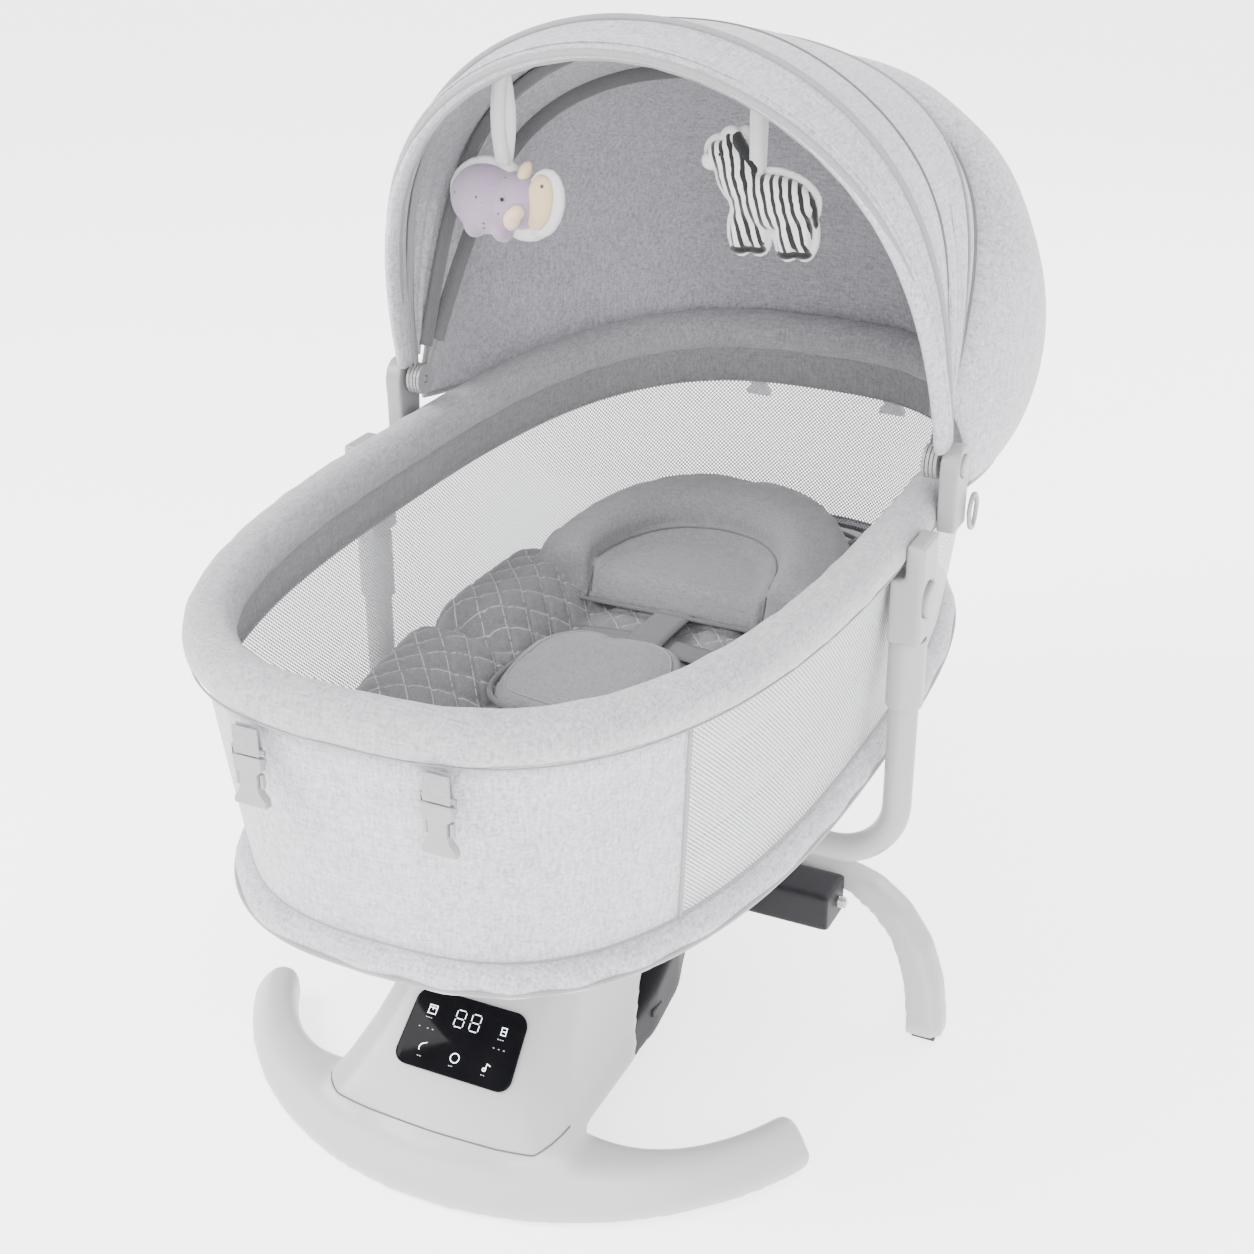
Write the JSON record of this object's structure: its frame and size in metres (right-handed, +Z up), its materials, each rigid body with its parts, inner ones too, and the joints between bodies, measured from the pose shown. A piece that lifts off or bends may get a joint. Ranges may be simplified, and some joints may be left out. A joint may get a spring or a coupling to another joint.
{
  "type": "baby swing",
  "caption": "Oval baby bassinet with a folding canopy and hanging toys, carried by a U-shaped tube on a motorised swing base with a touch panel.",
  "frame": {"origin": "on the floor, under the middle of the whole object's bounding box", "axes": "+Z up, -Y towards the foot end with the control panel, +Y towards the head end with the canopy, X across"},
  "size_m": [0.551, 0.8492, 0.7476],
  "materials": {
    "white_plastic": "satin moulded",
    "grey_plastic": "fine matt",
    "black_plastic": "matt",
    "panel_glass": "high gloss",
    "circuit_board": "solder mask",
    "steel": "zinc plated",
    "painted_tube": "powder coat",
    "bronze": "machined",
    "dark_rubber": "matt",
    "light_fabric": "linen weave",
    "rim_fabric": "linen weave",
    "pad_fabric": "fine weave",
    "board": "fibreboard",
    "lilac_plush": "plush",
    "white_plush": "plush"
  },
  "bodies": {
    "base": {"front_foot": "white_plastic", "tower_cover": "white_plastic", "control_panel": "panel_glass", "control_board": "circuit_board", "lower_housing": "black_plastic", "gearbox_lid": "black_plastic", "shaft_bearing_lower": "steel", "shaft_bearing_upper": "steel", "drive_motor": "steel", "rear_leg": "white_plastic", "foot_pad_front": "dark_rubber", "foot_pad_left": "dark_rubber", "foot_pad_right": "dark_rubber", "speaker": "dark_rubber", "power_inlet": "black_plastic"},
    "carrier": {"swing_shaft": "steel", "sector_gear": "bronze", "swing_head": "black_plastic", "saddle_cap": "black_plastic", "carrier_tube": "painted_tube", "tube_sleeve_left": "painted_tube", "tube_sleeve_right": "painted_tube", "rim_fitting_left": "grey_plastic", "rim_fitting_right": "grey_plastic", "rim_tube_head": "steel", "rim_tube_foot": "steel", "rim_foam_head": "rim_fabric", "rim_foam_foot": "rim_fabric", "basket_wall": "light_fabric", "bottom_cover": "light_fabric", "base_board": "board", "mattress": "light_fabric", "seat_pad": "pad_fabric", "head_pillow": "pad_fabric", "crotch_pad": "pad_fabric", "foot_buckle_left": "grey_plastic", "foot_buckle_right": "grey_plastic", "head_buckle_left": "grey_plastic", "head_buckle_right": "grey_plastic", "canopy_hub_left": "grey_plastic", "canopy_hub_right": "grey_plastic", "canopy_back": "light_fabric"},
    "pinion": {"drive_pinion": "bronze"},
    "leg_button_left": {"leg_button_left": "steel"},
    "leg_button_right": {"leg_button_right": "steel"},
    "release_button_left": {"release_button_left": "grey_plastic"},
    "release_button_right": {"release_button_right": "grey_plastic"},
    "hub_button_left": {"hub_button_left": "grey_plastic"},
    "hub_button_right": {"hub_button_right": "grey_plastic"},
    "d_ring_left": {"d_ring_left": "grey_plastic"},
    "d_ring_right": {"d_ring_right": "grey_plastic"},
    "front_bow": {"canopy_bow_front": "steel", "canopy_visor": "light_fabric"},
    "second_bow": {"canopy_bow_second": "steel", "canopy_roof": "light_fabric"},
    "third_bow": {"canopy_bow_third": "steel", "canopy_shoulder": "light_fabric"},
    "rear_bow": {"canopy_bow_rear": "steel"},
    "elephant": {"toy_elephant": "lilac_plush"},
    "zebra": {"toy_zebra": "white_plush"}
  },
  "joints": [
    {"name": "swing", "type": "hinge", "parent": "base", "child": "carrier", "pos_m": [0, -0.02, 0.1115], "axis": [0, 0, 1], "range_deg": [-10, 10]},
    {"name": "pinion_spin", "type": "hinge", "parent": "base", "child": "pinion", "pos_m": [0, -0.104, 0.0975], "axis": [0, 0, 1], "range_deg": [-61, 61]},
    {"name": "leg_button_left_press", "type": "slide", "parent": "base", "child": "leg_button_left", "axis": [1, 0, 0], "range_m": [0, 0.005], "stiffness_N_per_m": 400},
    {"name": "leg_button_right_press", "type": "slide", "parent": "base", "child": "leg_button_right", "axis": [-1, 0, 0], "range_m": [0, 0.005], "stiffness_N_per_m": 400},
    {"name": "release_button_left_press", "type": "slide", "parent": "carrier", "child": "release_button_left", "axis": [1, 0, 0], "range_m": [0, 0.0025], "stiffness_N_per_m": 400},
    {"name": "release_button_right_press", "type": "slide", "parent": "carrier", "child": "release_button_right", "axis": [-1, 0, 0], "range_m": [0, 0.0025], "stiffness_N_per_m": 400},
    {"name": "hub_button_left_press", "type": "slide", "parent": "carrier", "child": "hub_button_left", "axis": [1, 0, 0], "range_m": [0, 0.0022], "stiffness_N_per_m": 400},
    {"name": "hub_button_right_press", "type": "slide", "parent": "carrier", "child": "hub_button_right", "axis": [-1, 0, 0], "range_m": [0, 0.0022], "stiffness_N_per_m": 400},
    {"name": "d_ring_left_swing", "type": "hinge", "parent": "carrier", "child": "d_ring_left", "pos_m": [-0.24, 0.067, 0.415], "axis": [0, 1, 0], "range_deg": [0, 60]},
    {"name": "d_ring_right_swing", "type": "hinge", "parent": "carrier", "child": "d_ring_right", "pos_m": [0.24, 0.067, 0.415], "axis": [0, -1, 0], "range_deg": [0, 60]},
    {"name": "canopy_fold", "type": "hinge", "parent": "carrier", "child": "front_bow", "pos_m": [0, 0.045, 0.4446], "axis": [-1, 0, 0], "range_deg": [0, 36], "deforming": ["canopy_visor"]},
    {"name": "second_bow_fold", "type": "hinge", "parent": "carrier", "child": "second_bow", "pos_m": [0, 0.045, 0.4446], "axis": [-1, 0, 0], "range_deg": [0, 34.4], "deforming": ["canopy_roof"]},
    {"name": "third_bow_fold", "type": "hinge", "parent": "carrier", "child": "third_bow", "pos_m": [0, 0.045, 0.4446], "axis": [-1, 0, 0], "range_deg": [0, 11], "deforming": ["canopy_shoulder"]},
    {"name": "rear_bow_fold", "type": "hinge", "parent": "carrier", "child": "rear_bow", "pos_m": [0, 0.045, 0.4446], "axis": [-1, 0, 0], "range_deg": [0, 5.6]},
    {"name": "elephant_swing", "type": "hinge", "parent": "second_bow", "child": "elephant", "pos_m": [-0.126, 0.035, 0.696], "axis": [1, 0, 0], "range_deg": [-20, 20]},
    {"name": "zebra_swing", "type": "hinge", "parent": "second_bow", "child": "zebra", "pos_m": [0.066, 0.06, 0.714], "axis": [1, 0, 0], "range_deg": [-20, 20]}
  ],
  "couplings": [
    {"joint": "pinion_spin", "follows": "swing", "ratio": -6},
    {"joint": "second_bow_fold", "follows": "canopy_fold", "ratio": 0.95},
    {"joint": "third_bow_fold", "follows": "canopy_fold", "ratio": 0.3},
    {"joint": "rear_bow_fold", "follows": "canopy_fold", "ratio": 0.15}
  ]
}
